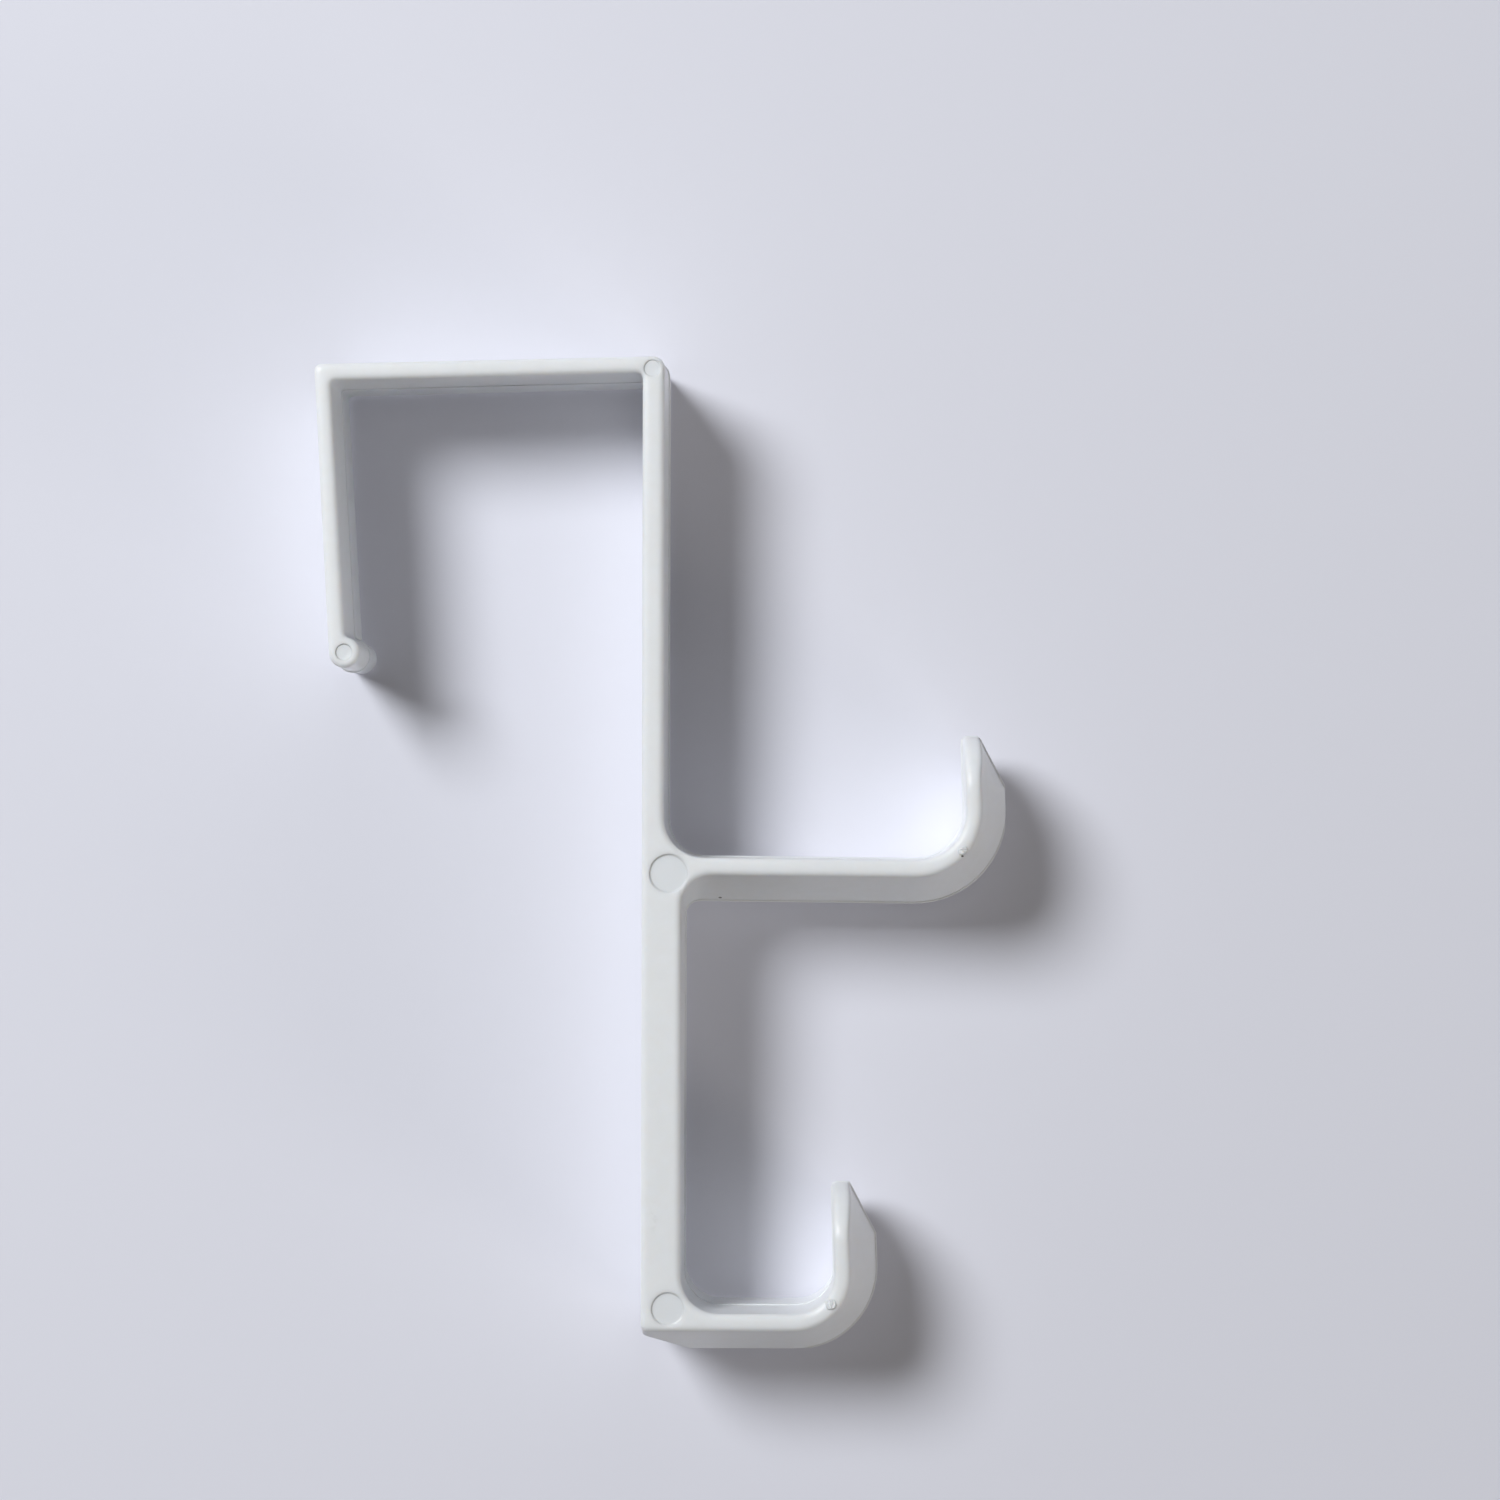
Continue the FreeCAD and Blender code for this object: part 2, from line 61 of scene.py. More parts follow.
NODE_STEP = 180
WELD = 0.001
MIX_FACTOR, MIX_FIRST, MIX_SECOND, MIX_RESULT = 0, 6, 7, 2

Colour = tuple[float, float, float]
Place = tuple[float, float, float]
Socket = bpy.types.NodeSocket

log = logging.getLogger("over_door_hook")


@dataclass(frozen=True)
class PhotoFrame:
    """How the near side face of the hook lies in the square photograph, in pixels."""

    side: float = 1500.0
    scale: float = 8.25
    strip_back: float = 642.4
    strip_back_level: float = 450.0
    door_top: float = 373.6
    lean: float = 0.0022

    def to_mm(self, column: float, row: float) -> tuple[float, float]:
        """Turn a place on the near side face into the frame's X and Z.

        Args:
            column: pixels from the left edge of the photograph.
            row: pixels from its top edge.

        Returns:
            X and Z in millimetres.
        """
        drift = (row - self.strip_back_level) * self.lean
        x = (column - self.strip_back + drift) / self.scale
        z = (self.door_top - row) / self.scale
        return x, z


PHOTO = PhotoFrame()


def metres(place: Place) -> Vector:
    """Turn a place in millimetres into Blender's metres."""
    return Vector(place) * MM


class NodeBuilder:
    """Adds nodes to a tree and wires them by socket."""

    def __init__(self, tree: bpy.types.NodeTree) -> None:
        """Keep the tree that the nodes go into."""
        self.tree = tree
        self.column = 0

    def add(self, kind: str, inputs: dict[object, object] | None = None,
            **settings: object) -> bpy.types.Node:
        """Add one node.

        Args:
            kind: the node's type.
            inputs: what goes into its sockets, by name or index.
            **settings: properties of the node itself.

        Returns:
            The new node.
        """
        node = self.tree.nodes.new(kind)
        node.location = (self.column * NODE_STEP, 0)
        self.column += 1
        for name, value in settings.items():
            setattr(node, name, value)
        for name, value in (inputs or {}).items():
            self.feed(node.inputs[name], value)
        return node

    def feed(self, socket: Socket, value: object) -> None:
        """Link an output to a socket, or set the socket's own value."""
        if isinstance(value, Socket):
            self.tree.links.new(value, socket)
        else:
            socket.default_value = value

    def math(self, operation: str, *terms: object) -> Socket:
        """Add a math node and return its result."""
        node = self.add("ShaderNodeMath", dict(enumerate(terms)), operation=operation)
        return node.outputs[0]

    def vector(self, operation: str, *terms: object) -> Socket:
        """Add a vector math node and return its vector, or the number for a length."""
        node = self.add("ShaderNodeVectorMath", dict(enumerate(terms)), operation=operation)
        return node.outputs["Value" if operation == "LENGTH" else "Vector"]


class ShaderBuilder(NodeBuilder):
    """Adds the nodes that the finishes use most."""

    def noise(self, vector: object, scale: object, **inputs: object) -> Socket:
        """Add a noise texture and return its value."""
        node = self.add("ShaderNodeTexNoise", {"Vector": vector, "Scale": scale, **inputs})
        return node.outputs[0]

    def ramp(self, value: object, low: object, high: object, start: object = 0.0,
             end: object = 1.0) -> Socket:
        """Map a value smoothly from one range to another.

        Args:
            value: what is mapped.
            low: the value that gives start.
            high: the value that gives end.
            start: the result at low, and below it.
            end: the result at high, and above it.

        Returns:
            The result.
        """
        inputs = {"Value": value, "From Min": low, "From Max": high,
                  "To Min": start, "To Max": end}
        node = self.add("ShaderNodeMapRange", inputs, interpolation_type="SMOOTHSTEP", clamp=True)
        return node.outputs["Result"]

    def mix(self, factor: object, first: object, second: object) -> Socket:
        """Mix two colours and return the result."""
        inputs = {MIX_FACTOR: factor, MIX_FIRST: first, MIX_SECOND: second}
        return self.add("ShaderNodeMix", inputs, data_type="RGBA").outputs[MIX_RESULT]

    def tint(self, factor: object, base: object, colour: Colour) -> Socket:
        """Mix a plain colour into another and return the result."""
        return self.mix(factor, base, (*colour, 1.0))

    def effect(self, tree: bpy.types.NodeTree,
               inputs: dict[str, object]) -> bpy.types.NodeOutputs:
        """Place a shared effect, feed it and return its outputs."""
        return self.add("ShaderNodeGroup", inputs, node_tree=tree).outputs


class Effects:
    """Shader node groups that the finishes share, each built once."""

    def __init__(self) -> None:
        """Build every group."""
        self.skin = self.build_skin()
        self.handling = self.build_handling()
        self.spot = self.build_spot()

    @staticmethod
    def start(name: str, inputs: dict[str, object], outputs: tuple[str, ...]) -> ShaderBuilder:
        """Make an empty group.

        Args:
            name: the group's name.
            inputs: the first value of each input: a number, or a place for a vector.
            outputs: names of its outputs, all of them numbers.

        Returns:
            A builder for the group's nodes.
        """
        tree = bpy.data.node_groups.new(name, "ShaderNodeTree")
        for socket_name, value in inputs.items():
            kind = "NodeSocketFloat" if isinstance(value, float) else "NodeSocketVector"
            socket = tree.interface.new_socket(socket_name, in_out="INPUT", socket_type=kind)
            socket.default_value = value
        for socket_name in outputs:
            tree.interface.new_socket(socket_name, in_out="OUTPUT", socket_type="NodeSocketFloat")
        return ShaderBuilder(tree)

    def build_skin(self) -> bpy.types.NodeTree:
        """Skin off a polished mould: a fine ripple, and long faint marks of the plastic's flow."""
        build = self.start("Moulded skin", {
            "Vector": (0.0, 0.0, 0.0), "Ripple Scale": 700.0, "Ripple Height": 0.25,
            "Flow Scale": 110.0, "Flow Height": 0.5, "Flow Stretch": (1.0, 1.0, 0.5),
        }, ("Height",))
        given = build.add("NodeGroupInput").outputs
        ripple = build.noise(given["Vector"], given["Ripple Scale"], Detail=3.0)
        along = build.vector("MULTIPLY", given["Vector"], given["Flow Stretch"])
        flow = build.noise(along, given["Flow Scale"], Detail=2.0, Distortion=0.4)
        fine = build.math("MULTIPLY", ripple, given["Ripple Height"])
        broad = build.math("MULTIPLY", flow, given["Flow Height"])
        build.add("NodeGroupOutput", {"Height": build.math("ADD", fine, broad)})
        return build.tree

    def build_handling(self) -> bpy.types.NodeTree:
        """Handling: a few specks of dust, and soft patches that fingers have dulled."""
        build = self.start("Handling", {
            "Vector": (0.0, 0.0, 0.0), "Dust Scale": 420.0, "Dust Size": 0.055,
            "Dust Share": 0.03, "Grease Scale": 70.0, "Grease Low": 0.2, "Grease High": 0.8,
        }, ("Dust", "Grease"))
        given = build.add("NodeGroupInput").outputs
        scattered = {"Vector": given["Vector"], "Scale": given["Dust Scale"]}
        cells = build.add("ShaderNodeTexVoronoi", scattered).outputs
        chance = build.add("ShaderNodeSeparateColor", {"Color": cells["Color"]}).outputs["Red"]
        chosen = build.math("LESS_THAN", chance, given["Dust Share"])
        grain = build.ramp(cells["Distance"], 0.0, given["Dust Size"], 1.0, 0.0)
        grease = build.noise(given["Vector"], given["Grease Scale"], Detail=3.0)
        patches = build.ramp(grease, given["Grease Low"], given["Grease High"])
        build.add("NodeGroupOutput", {"Dust": build.math("MULTIPLY", chosen, grain),
                                      "Grease": patches})
        return build.tree

    def build_spot(self) -> bpy.types.NodeTree:
        """One ragged spot: a mask of 1 round its centre that falls to 0 at its half sizes."""
        build = self.start("Spot", {
            "Vector": (0.0, 0.0, 0.0), "Centre": (0.0, 0.0, 0.0), "Half Size": (1.0, 1.0, 1.0),
            "Softness": 0.3, "Raggedness": 0.2, "Grain Scale": 1500.0,
        }, ("Mask", "Grain"))
        given = build.add("NodeGroupInput").outputs
        offset = build.vector("SUBTRACT", given["Vector"], given["Centre"])
        reach = build.vector("LENGTH", build.vector("DIVIDE", offset, given["Half Size"]))
        grain = build.noise(given["Vector"], given["Grain Scale"], Detail=2.0)
        centred = build.math("SUBTRACT", grain, 0.5)
        wander = build.math("MULTIPLY", centred, given["Raggedness"])
        inner = build.math("SUBTRACT", 1.0, given["Softness"])
        mask = build.ramp(build.math("ADD", reach, wander), inner, 1.0, 1.0, 0.0)
        build.add("NodeGroupOutput", {"Mask": mask, "Grain": grain})
        return build.tree


class MarkKind(Enum):
    """Kinds of small mark that a moulding carries."""

    PIN = "pin"
    GATE = "gate"
    SPECK = "speck"
    SCUFF = "scuff"


@dataclass(frozen=True)
class Mark:
    """A small mark on the moulding: its kind, centre and half sizes in millimetres."""

    kind: MarkKind
    centre: Place
    half_size: Place

    @classmethod
    def on_side_face(cls, kind: MarkKind, column: float, row: float, half_x: float,
                     half_z: float) -> "Mark":
        """Place a mark on the near side face.

        Args:
            kind: the kind of mark.
            column: its centre's pixel from the left edge of the photograph.
            row: its centre's pixel from the top edge.
            half_x: half its width in millimetres.
            half_z: half its height in millimetres.

        Returns:
            The mark.
        """
        x, z = PHOTO.to_mm(column, row)
        return cls(kind, (x, SIDE_FACE, z), (half_x, 1.0, half_z))


@dataclass(frozen=True)
class PinMarks:
    """Round marks of the ejector pins, found on the moulding by the depth of their floors."""

    depth: float = 0.15
    tolerance: float = 0.01

    def find(self) -> tuple[Mark, ...]:
        """Find the floor of each pin mark in the side face.

        Returns:
            One mark for each floor, with its centre and radius.
        """
        level = SIDE_FACE + self.depth
        mesh = bmesh.new()
        mesh.from_mesh(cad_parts[NODE].data)
        bmesh.ops.remove_doubles(mesh, verts=mesh.verts, dist=self.tolerance * MM)
        floor = {face for face in mesh.faces
                 if all(abs(vert.co.y / MM - level) < self.tolerance for vert in face.verts)}
        marks = []
        while floor:
            island = self.spread(floor)
            xs = [vert.co.x / MM for face in island for vert in face.verts]
            zs = [vert.co.z / MM for face in island for vert in face.verts]
            radius = (max(xs) - min(xs)) / 2
            centre = (min(xs) + radius, level, (min(zs) + max(zs)) / 2)
            marks.append(Mark(MarkKind.PIN, centre, (radius, 1.0, radius)))
        mesh.free()
        log.info("%d pin marks found", len(marks))
        return tuple(marks)

    @staticmethod
    def spread(faces: set[bmesh.types.BMFace]) -> list[bmesh.types.BMFace]:
        """Take one connected island of faces out of the set and return it."""
        front = [faces.pop()]
        island = []
        while front:
            face = front.pop()
            island.append(face)
            joined = {other for edge in face.edges for other in edge.link_faces}
            near = joined & faces
            faces -= near
            front.extend(near)
        return island


@dataclass
class Surface:
    """What a finish builds up step by step: the sockets of its colour, roughness and height."""

    colour: Socket
    rough: Socket
    height: Socket


@dataclass(frozen=True)
class WhitePlastic:
    """Glossy white plastic, moulded and handled."""

    name: str = "white_gloss_plastic"
    colour: Colour = (0.800, 0.818, 0.838)
    drift_colour: Colour = (0.785, 0.800, 0.812)
    pin_colour: Colour = (0.755, 0.778, 0.802)
    # Pale colour painted on a gate's stub as highlights where its crumbs catch the light.
    gate_glint_colour: Colour = (0.93, 0.94, 0.96)
    # Dark colour of a real dirt speck, and of the painted shade on the lower side of the upper gate's
    # stub.
    dirt_and_shade_colour: Colour = (0.10, 0.09, 0.08)
    # Grey of the scuffs, and of the painted shade ring round each pin mark.
    scuff_and_rim_shade_colour: Colour = (0.60, 0.61, 0.62)
    dust_colour: Colour = (0.42, 0.41, 0.40)
    drift_scale: float = 700.0
    dust_cover: float = 0.6
    roughness: float = 0.285
    dulled: float = 0.34
    ior: float = 1.50
    edge_radius: float = 1.1
    edge_samples: int = 6
    skin_depth: float = 0.01
    glow: float = 0.3
    glow_reach: Colour = (1.0, 0.85, 0.72)
    glow_depth: float = 1.5
    gate_height: float = 30.0
    pin_depth: float = 7.0
    # Strength of the painted shade ring round each pin mark.
    pin_rim_shade: float = 1.4
    scuff_cover: float = 0.5
    scuff_dulling: float = 0.2
    marks: tuple[Mark, ...] = ()

    def build(self, effects: Effects) -> bpy.types.Material:
        """Build the material.

        Args:
            effects: the shared shader groups.

        Returns:
            The finished material.
        """
        material = bpy.data.materials.new(self.name)
        material.use_nodes = True
        material.node_tree.nodes.clear()
        build = ShaderBuilder(material.node_tree)
        where = build.add("ShaderNodeTexCoord").outputs["Object"]
        surface = self.clean(build, effects, where)
        for mark in self.marks:
            place = {"Vector": where, "Centre": metres(mark.centre),
                     "Half Size": metres(mark.half_size)}
            spot = build.effect(effects.spot, {**place, **self.spot_values(mark.kind)})
            self.add_mark(build, surface, mark.kind, spot)
        bump = build.add("ShaderNodeBump", {"Strength": 1.0, "Distance": self.skin_depth * MM,
                                            "Height": surface.height})
        if self.edge_radius > 0:
            rounded = build.add("ShaderNodeBevel", {"Radius": self.edge_radius * MM},
                                samples=self.edge_samples)
            build.feed(bump.inputs["Normal"], rounded.outputs["Normal"])
        shader = build.add("ShaderNodeBsdfPrincipled", {
            "Base Color": surface.colour, "Roughness": surface.rough, "IOR": self.ior,
            "Subsurface Weight": self.glow, "Subsurface Radius": self.glow_reach,
            "Subsurface Scale": self.glow_depth * MM, "Normal": bump.outputs["Normal"],
        })
        build.add("ShaderNodeOutputMaterial", {"Surface": shader.outputs[0]})
        return material

    def clean(self, build: ShaderBuilder, effects: Effects, where: Socket) -> Surface:
        """Give the plastic before any mark: its drift of colour, its dust and its dulled patches.

        Args:
            build: the builder of the material.
            effects: the shared shader groups.
            where: the object coordinates.

        Returns:
            The sockets of the surface so far.
        """
        handling = build.effect(effects.handling, {"Vector": where})
        skin = build.effect(effects.skin, {"Vector": where})
        drift = build.ramp(build.noise(where, self.drift_scale, Detail=3.0), 0.2, 0.8)
        colour = build.tint(drift, (*self.colour, 1.0), self.drift_colour)
        dust = build.math("MULTIPLY", handling["Dust"], self.dust_cover)
        colour = build.tint(dust, colour, self.dust_colour)
        rough = build.ramp(handling["Grease"], 0.0, 1.0, self.roughness, self.dulled)
        return Surface(colour, rough, skin["Height"])

    def add_mark(self, build: ShaderBuilder, surface: Surface, kind: MarkKind,
                 spot: bpy.types.NodeOutputs) -> None:
        """Work one mark into the surface.

        Args:
            build: the builder of the material.
            surface: the sockets so far, which are replaced.
            kind: the kind of mark.
            spot: the mask and the grain of the mark.
        """
        mask, grain = spot["Mask"], spot["Grain"]
        if kind is MarkKind.PIN:
            self.press_pin(build, surface, mask)
        elif kind is MarkKind.GATE:
            self.tear_gate(build, surface, mask, grain)
        # A speck is painted dark: real dirt on the arm's underside, and painted shade below the upper
        # gate's stub.
        elif kind is MarkKind.SPECK:
            surface.colour = build.tint(mask, surface.colour, self.dirt_and_shade_colour)
        else:
            self.scuff(build, surface, mask, grain)

    def press_pin(self, build: ShaderBuilder, surface: Surface, mask: Socket) -> None:
        """Grey the floor of a pin mark, paint shade in a ring round its rim, and sink it."""
        colour = build.tint(mask, surface.colour, self.pin_colour)
        # Painted shade: a dark ring where the pin mark's sunken edge would lie in shade.
        edge = build.math("MULTIPLY", mask, build.math("SUBTRACT", 1.0, mask))
        rim_shade = build.math("MULTIPLY", edge, self.pin_rim_shade)
        surface.colour = build.tint(rim_shade, colour, self.scuff_and_rim_shade_colour)
        sunk = build.math("MULTIPLY", mask, self.pin_depth)
        surface.height = build.math("SUBTRACT", surface.height, sunk)

    def tear_gate(self, build: ShaderBuilder, surface: Surface, mask: Socket,
                  grain: Socket) -> None:
        """Raise the torn stub of a gate, and paint pale highlights on it where its crumbs would catch
        the light.
        """
        torn = build.math("MULTIPLY", mask, build.ramp(grain, 0.3, 0.7, 0.4, 1.0))
        raised = build.math("MULTIPLY", torn, self.gate_height)
        surface.height = build.math("ADD", surface.height, raised)
        # Painted highlight: pale glints on the gate's stub, standing in for light caught by its
        # crumbs.
        pale = build.math("MULTIPLY", mask, build.ramp(grain, 0.48, 0.58))
        surface.colour = build.tint(pale, surface.colour, self.gate_glint_colour)

    def scuff(self, build: ShaderBuilder, surface: Surface, mask: Socket,
              grain: Socket) -> None:
        """Rub a faint, dull scuff into the gloss."""
        faint = build.math("MULTIPLY", mask, build.ramp(grain, 0.45, 0.6))
        cover = build.math("MULTIPLY", faint, self.scuff_cover)
        surface.colour = build.tint(cover, surface.colour, self.scuff_and_rim_shade_colour)
        dulling = build.math("MULTIPLY", faint, self.scuff_dulling)
        surface.rough = build.math("ADD", surface.rough, dulling)

    @staticmethod
    def spot_values(kind: MarkKind) -> dict[str, float]:
        """Give the softness, raggedness and grain of a kind of mark."""
        return {
            MarkKind.PIN: {"Softness": 0.12, "Raggedness": 0.02, "Grain Scale": 900.0},
            MarkKind.GATE: {"Softness": 0.35, "Raggedness": 0.8, "Grain Scale": 1900.0},
            MarkKind.SPECK: {"Softness": 0.4, "Raggedness": 0.5, "Grain Scale": 3000.0},
            MarkKind.SCUFF: {"Softness": 0.9, "Raggedness": 1.2, "Grain Scale": 700.0},
        }[kind]


class PaperUse(Enum):
    """What a sheet of the stage's paper is there for."""

    BACKDROP = "backdrop"
    FLOOR = "floor"


@dataclass(frozen=True)
class StagePaper:
    """Pale matt paper of the stage. It isn't there from behind, and the floor lights nothing."""

    name: str
    use: PaperUse
    colour: Colour
    centre: Place
    roughness: float = 0.9
    shine: float = 0.2
    grain: float = 0.05
    grain_scale: float = 1400.0
    lit_reach: float = 170.0
    plain_reach: float = 520.0

    def build(self, effects: Effects) -> bpy.types.Material:
        """Build the material.

        Args:
            effects: the shared shader groups.

        Returns:
            The finished material.
        """
        material = bpy.data.materials.new(self.name)
        material.use_nodes = True
        material.node_tree.nodes.clear()
        build = ShaderBuilder(material.node_tree)
        where = build.add("ShaderNodeTexCoord").outputs["Object"]
        skin = build.effect(effects.skin, {"Vector": where, "Ripple Scale": self.grain_scale})
        bump = build.add("ShaderNodeBump", {"Strength": self.grain, "Distance": 0.1 * MM,
                                            "Height": skin["Height"]})
        paper = build.add("ShaderNodeBsdfPrincipled", {
            "Base Color": (*self.colour, 1.0), "Roughness": self.roughness,
            "Specular IOR Level": self.shine, "Normal": bump.outputs["Normal"],
        })
        gone = build.add("ShaderNodeBsdfTransparent")
        behind = build.add("ShaderNodeNewGeometry").outputs["Backfacing"]
        ray = build.add("ShaderNodeLightPath").outputs
        away = build.vector("LENGTH", build.vector("SUBTRACT", where, metres(self.centre)))
        far = build.ramp(away, self.lit_reach * MM, self.plain_reach * MM)
        seen_far = build.math("MULTIPLY", far, ray["Is Camera Ray"])
        plain = build.add("ShaderNodeEmission", {"Color": (*self.colour, 1.0)})
        sweep = build.add("ShaderNodeMixShader", {0: seen_far, 1: paper.outputs[0],
                                                  2: plain.outputs[0]})
        if self.use is PaperUse.FLOOR:
            absent = build.math("SUBTRACT", 1.0, ray["Is Camera Ray"])
        else:
            absent = ray["Is Shadow Ray"]
        absent = build.math("MAXIMUM", behind, absent)
        shown = build.add("ShaderNodeMixShader", {0: absent, 1: sweep.outputs[0],
                                                  2: gone.outputs[0]})
        build.add("ShaderNodeOutputMaterial", {"Surface": shown.outputs[0]})
        return material


@dataclass
class Moulding:
    """The moulded hook itself, as the frame gives it."""

    finish: WhitePlastic

    def dress(self, effects: Effects) -> None:
        """Give the moulding its finish.

        Args:
            effects: the shared shader groups.
        """
        material = self.finish.build(effects)
        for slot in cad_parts[NODE].material_slots:
            slot.material = material
        log.info("%s: dressed in %s", NODE, self.finish.name)


@dataclass
class WitnessLine:
    """Fine bead of plastic where the halves of the mould met, all along the mid-width."""

    name: str = "witness_line"
    radius: float = 0.15
    sides: int = 8
    wander: float = 0.25
    wander_scale: float = 90.0
    spacing: float = 0.5
    box_margin: float = 0.20
    flatness: float = 0.005
    seed: float = 3.0

    def build(self, material: bpy.types.Material) -> bpy.types.Object:
        """Grow the bead along the mid-width of the moulding's own mesh and bake it.

        Args:
            material: the plastic.

        Returns:
            The bead as a plain mesh.
        """
        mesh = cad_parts[NODE].data.copy()
        carrier = bpy.data.objects.new(f"{self.name}_carrier", mesh)
        bpy.context.collection.objects.link(carrier)
        tree = self.tree()
        modifier = carrier.modifiers.new("Witness line", "NODES")
        modifier.node_group = tree
        margin = Vector((1, 0, 1)) * self.box_margin * MM
        values = {"Bead Radius": self.radius * MM, "Wander": self.wander,
                  "Spacing": self.spacing * MM, "Seed": self.seed,
                  "Low Corner": CAD_BOX[0] + margin, "High Corner": CAD_BOX[1] - margin,
                  "Plastic": material}
        for item in tree.interface.items_tree:
            if item.name in values:
                modifier[item.identifier] = values[item.name]
        bpy.context.view_layer.update()
        evaluated = carrier.evaluated_get(bpy.context.evaluated_depsgraph_get())
        baked = bpy.data.meshes.new_from_object(evaluated)
        bpy.data.objects.remove(carrier)
        bead = bpy.data.objects.new(self.name, baked)
        bpy.context.collection.objects.link(bead)
        log.info("%s: %d faces", self.name, len(baked.polygons))
        return bead

    def tree(self) -> bpy.types.GeometryNodeTree:
        """Build the tree: the edges at mid-width become curves, and the curves a bead."""
        tree = bpy.data.node_groups.new("Witness line", "GeometryNodeTree")
        sockets = (("Geometry", "NodeSocketGeometry"), ("Bead Radius", "NodeSocketFloat"),
                   ("Wander", "NodeSocketFloat"), ("Spacing", "NodeSocketFloat"),
                   ("Seed", "NodeSocketFloat"),
                   ("Low Corner", "NodeSocketVector"), ("High Corner", "NodeSocketVector"),
                   ("Plastic", "NodeSocketMaterial"))
        for name, kind in sockets:
            tree.interface.new_socket(name, in_out="INPUT", socket_type=kind)
        tree.interface.new_socket("Geometry", in_out="OUTPUT", socket_type="NodeSocketGeometry")
        build = NodeBuilder(tree)
        given = build.add("NodeGroupInput").outputs
        where = build.add("GeometryNodeInputPosition").outputs[0]
        welded = build.add("GeometryNodeMergeByDistance", {"Geometry": given["Geometry"],
                                                           "Distance": WELD * MM})
        across = build.add("ShaderNodeSeparateXYZ", {0: where}).outputs["Y"]
        far_half = build.math("GREATER_THAN", across, 0.0)
        near_half = build.add("GeometryNodeDeleteGeometry", {
            "Geometry": welded.outputs[0], "Selection": far_half}, domain="FACE")
        curves = build.add("GeometryNodeMeshToCurve", {"Mesh": near_half.outputs[0],
                                                       "Selection": self.open_edges(build)})
        even = build.add("GeometryNodeResampleCurve", {"Curve": curves.outputs[0],
                                                       "Length": given["Spacing"]}, mode="LENGTH")
        above = build.vector("MAXIMUM", where, given["Low Corner"])
        inside = build.vector("MINIMUM", above, given["High Corner"])
        kept = build.add("GeometryNodeSetPosition", {"Geometry": even.outputs[0],
                                                     "Position": inside})
        noise = build.add("ShaderNodeTexNoise", {
            "Vector": where, "W": given["Seed"], "Scale": self.wander_scale, "Detail": 1.0,
        }, noise_dimensions="4D").outputs[0]
        swing = build.math("MULTIPLY", build.math("SUBTRACT", noise, 0.5), given["Wander"])
        radius = build.math("ADD", 1.0, build.math("MULTIPLY", swing, 2.0))
        shaped = build.add("GeometryNodeSetCurveRadius", {"Curve": kept.outputs[0],
                                                          "Radius": radius})
        ring = build.add("GeometryNodeCurvePrimitiveCircle", {"Resolution": self.sides,
                                                              "Radius": given["Bead Radius"]})
        bead = build.add("GeometryNodeCurveToMesh", {"Curve": shaped.outputs[0],
                                                     "Profile Curve": ring.outputs[0],
                                                     "Fill Caps": True})
        smooth = build.add("GeometryNodeSetShadeSmooth", {"Geometry": bead.outputs[0]})
        real = build.add("GeometryNodeRealizeInstances", {"Geometry": smooth.outputs[0]})
        dressed = build.add("GeometryNodeSetMaterial", {"Geometry": real.outputs[0],
                                                        "Material": given["Plastic"]})
        build.add("NodeGroupOutput", {"Geometry": dressed.outputs[0]})
        return tree

    def open_edges(self, build: NodeBuilder) -> Socket:
        """Choose the open edges of the near half, all of which lie at mid-width."""
        ends = build.add("GeometryNodeInputMeshEdgeVertices")
        faces = build.add("GeometryNodeInputMeshEdgeNeighbors").outputs[0]
        chosen = build.math("LESS_THAN", faces, 1.5)
        for end in ("Position 1", "Position 2"):
            across = build.add("ShaderNodeSeparateXYZ", {0: ends.outputs[end]}).outputs["Y"]
            off = build.math("ABSOLUTE", across)
            level = build.math("LESS_THAN", off, self.flatness * MM)
            chosen = build.math("MULTIPLY", chosen, level)
        return chosen


@dataclass(frozen=True)
class SoftLamp:
    """A round studio lamp, placed by the direction that it shines from."""

    name: str
    toward: Place
    distance: float
    width: float
    power: float
    colour: Colour = (1.0, 1.0, 1.0)
    mirrored: bool = True

    def build(self, target: Vector) -> None:
        """Hang the lamp and point it at the target."""
        lamp = bpy.data.lights.new(self.name, "AREA")
        lamp.shape = "DISK"
        lamp.size = self.width * MM
        lamp.energy = self.power
        lamp.color = self.colour
        holder = bpy.data.objects.new(self.name, lamp)
        bpy.context.collection.objects.link(holder)
        holder.visible_glossy = self.mirrored
        direction = Vector(self.toward).normalized()
        holder.location = target + direction * self.distance * MM
        holder.rotation_euler = direction.to_track_quat("Z", "Y").to_euler()


@dataclass(frozen=True)
class ProductCamera:
    """Camera square to the side face, over the pixel where its receding edges would meet."""

    axis_column: float = 845.0
    axis_row: float = 837.0
    distance: float = 494.5
    sensor: float = 36.0

    def build(self) -> None:
        """Set the camera up and make it the scene's."""
        lens = bpy.data.cameras.new("product_camera")
        lens.sensor_width = self.sensor
        lens.lens = self.sensor * PHOTO.scale * self.distance / PHOTO.side
        lens.shift_x = (PHOTO.side / 2 - self.axis_column) / PHOTO.side
        lens.shift_y = (self.axis_row - PHOTO.side / 2) / PHOTO.side
        camera = bpy.data.objects.new("product_camera", lens)
        bpy.context.collection.objects.link(camera)
        x, z = PHOTO.to_mm(self.axis_column, self.axis_row)
        place = Matrix.Translation(metres((x, SIDE_FACE - self.distance, z)))
        level = Matrix.Rotation(math.radians(90), 4, "X")
        roll = Matrix.Rotation(math.atan(PHOTO.lean), 4, "Z")
        camera.matrix_world = place @ level @ roll
        bpy.context.scene.camera = camera


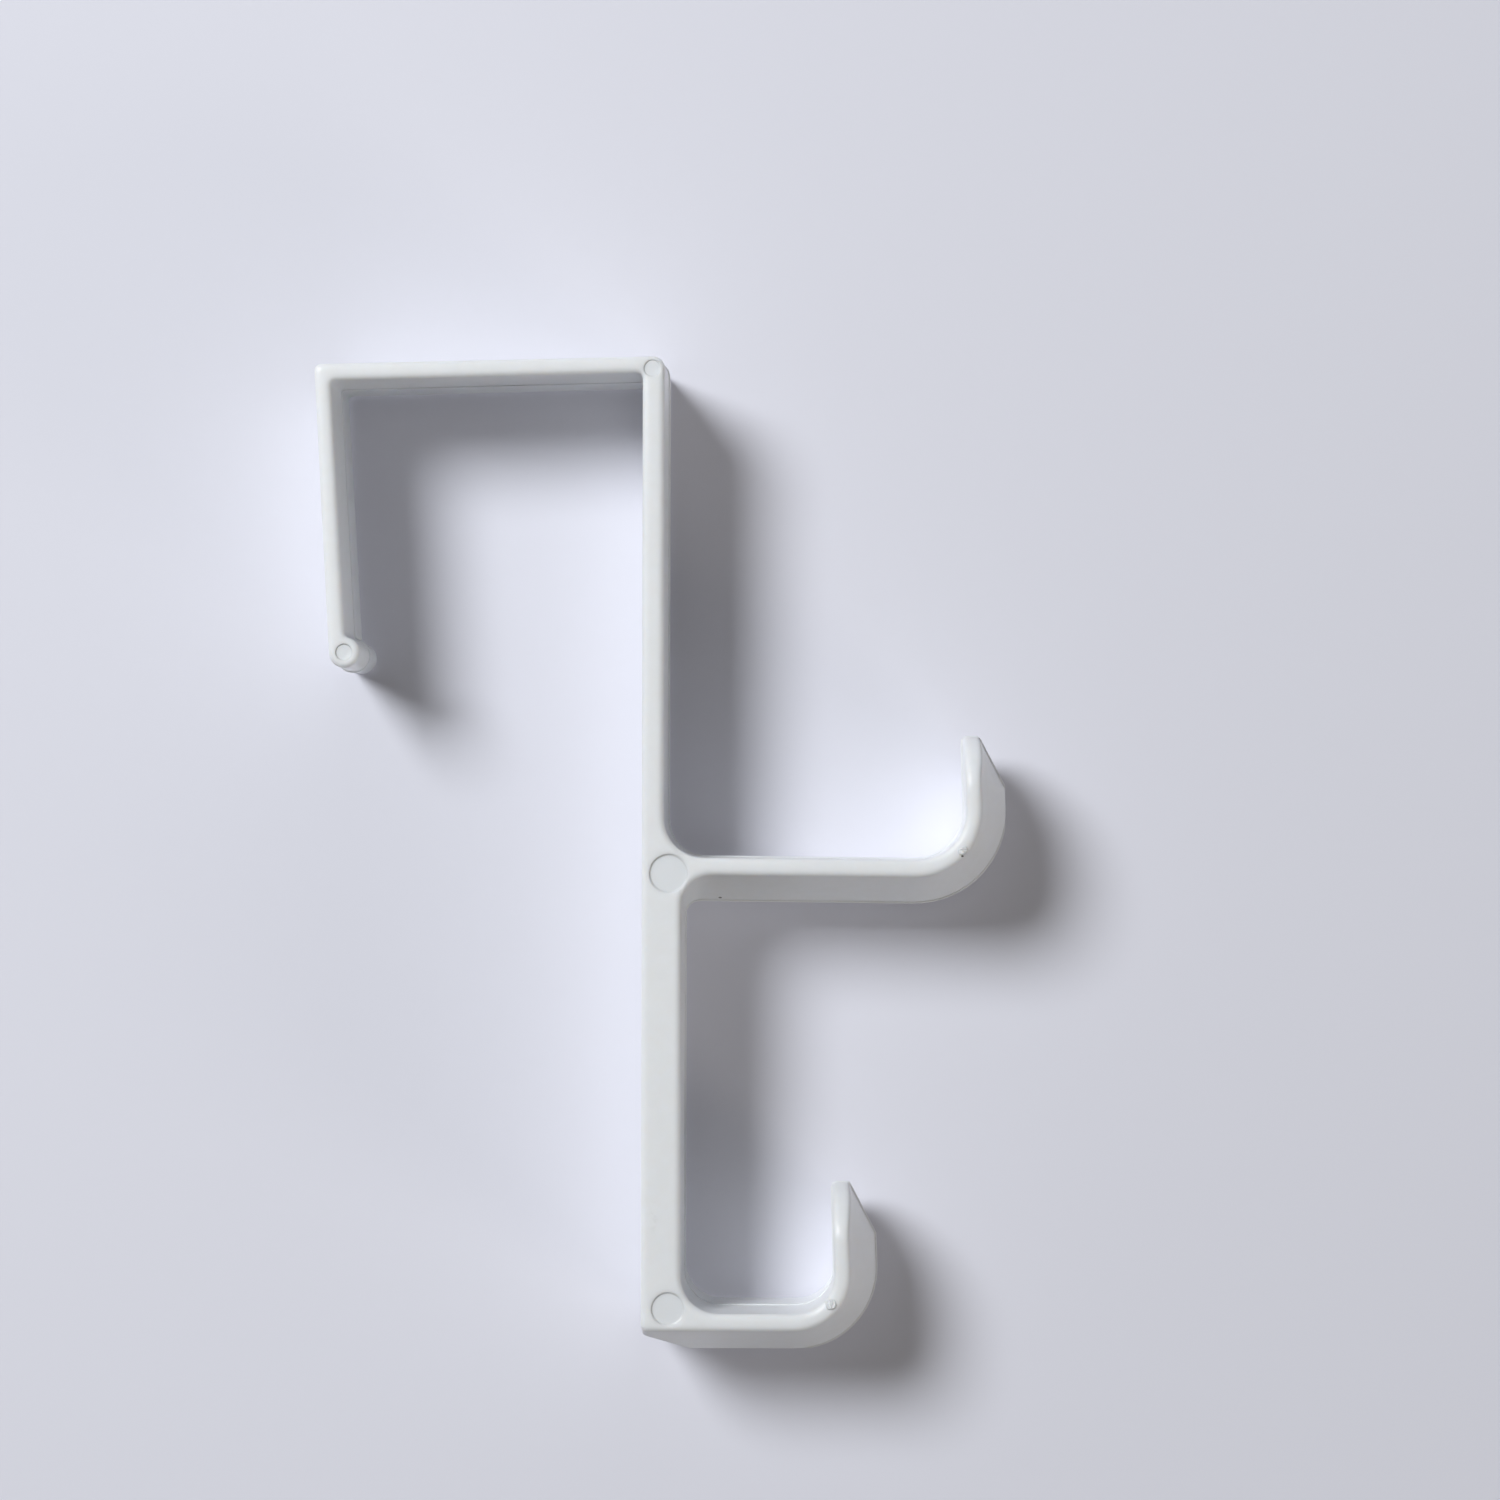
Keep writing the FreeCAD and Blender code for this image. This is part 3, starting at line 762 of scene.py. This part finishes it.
@dataclass
class Studio:
    """Pale floor and backdrop, soft lamps, and the camera."""

    backdrop_gap: float = 0.4
    floor_drop: float = 60.0
    reach: float = 1500.0
    paper: Colour = (0.74, 0.742, 0.815)
    ambient: float = 0.09
    ambient_colour: Colour = (1.0, 0.96, 0.90)

    def build(self, effects: Effects) -> None:
        """Build everything round the hook.

        Args:
            effects: the shared shader groups.
        """
        low, high = CAD_BOX
        centre = (low + high) / 2
        middle = tuple(centre / MM)
        wall = StagePaper("backdrop_paper", PaperUse.BACKDROP, self.paper, middle)
        ground = StagePaper("floor_paper", PaperUse.FLOOR, self.paper, middle)
        wall_y = high.y + self.backdrop_gap * MM
        floor_z = low.z - self.floor_drop * MM
        reach = self.reach * MM
        self.sheet("backdrop", [(-reach, wall_y, floor_z), (reach, wall_y, floor_z),
                                (reach, wall_y, reach), (-reach, wall_y, reach)],
                   wall.build(effects))
        self.sheet("floor", [(-reach, -reach, floor_z), (reach, -reach, floor_z),
                             (reach, reach, floor_z), (-reach, reach, floor_z)],
                   ground.build(effects))
        lamps = (
            SoftLamp("key", toward=(-0.499, -0.756, 0.423), distance=1200.0, width=500.0,
                     power=13.7, colour=(0.955, 0.98, 1.0)),
            SoftLamp("fill", toward=(0.80, -0.22, -0.56), distance=1100.0, width=420.0,
                     power=2.6, colour=(1.0, 0.955, 0.90)),
            SoftLamp("front", toward=(0.10, -0.99, 0.05), distance=1100.0, width=400.0,
                     power=0.8, colour=(1.0, 0.97, 0.94)),
            SoftLamp("back", toward=(-0.40, 0.917, 0.0), distance=1100.0, width=300.0,
                     power=4.5, mirrored=False),
        )
        for lamp in lamps:
            lamp.build(centre)
        self.light_world()
        ProductCamera().build()
        bpy.context.scene.view_settings.view_transform = "Standard"
        log.info("studio: %d lamps", len(lamps))

    @staticmethod
    def sheet(name: str, corners: list[Place], material: bpy.types.Material) -> None:
        """Lay one flat sheet of the stage, facing the way its corners turn."""
        mesh = bpy.data.meshes.new(name)
        mesh.from_pydata(corners, [], [(0, 1, 2, 3)])
        mesh.materials.append(material)
        sheet = bpy.data.objects.new(name, mesh)
        bpy.context.collection.objects.link(sheet)

    def light_world(self) -> None:
        """Light the scene evenly from all round, and show the camera the paper's colour."""
        world = bpy.data.worlds.new("studio")
        world.use_nodes = True
        world.node_tree.nodes.clear()
        build = ShaderBuilder(world.node_tree)
        glow = build.add("ShaderNodeBackground", {"Color": (*self.ambient_colour, 1.0),
                                                  "Strength": self.ambient})
        seen = build.add("ShaderNodeBackground", {"Color": (*self.paper, 1.0)})
        camera_ray = build.add("ShaderNodeLightPath").outputs["Is Camera Ray"]
        both = build.add("ShaderNodeMixShader", {0: camera_ray, 1: glow.outputs[0],
                                                 2: seen.outputs[0]})
        build.add("ShaderNodeOutputWorld", {"Surface": both.outputs[0]})
        bpy.context.scene.world = world


MARKS = (
    Mark.on_side_face(MarkKind.GATE, 964.0, 851.0, 0.72, 0.62),
    # Painted shade on the lower side of the upper gate's stub.
    Mark.on_side_face(MarkKind.SPECK, 962.5, 856.0, 0.20, 0.16),
    Mark.on_side_face(MarkKind.GATE, 831.0, 1305.0, 0.72, 0.72),
    Mark.on_side_face(MarkKind.SCUFF, 653.0, 1218.0, 0.8, 2.6),
    # Real dirt on the arm's underside.
    Mark(MarkKind.SPECK, (9.3, -1.0, -63.7), (0.28, 0.5, 0.16)),
)


def main() -> None:
    """Dress the hook and set up the studio."""
    logging.basicConfig(level=logging.INFO, format="%(name)s: %(message)s")
    effects = Effects()
    finish = WhitePlastic(marks=MARKS + PinMarks().find())
    Moulding(finish).dress(effects)
    plain = WhitePlastic(name="white_plastic_bead", edge_radius=0.0)
    bead = WitnessLine().build(plain.build(effects))
    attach(bead, BODY)
    Studio().build(effects)


if __name__ == "__main__":
    main()
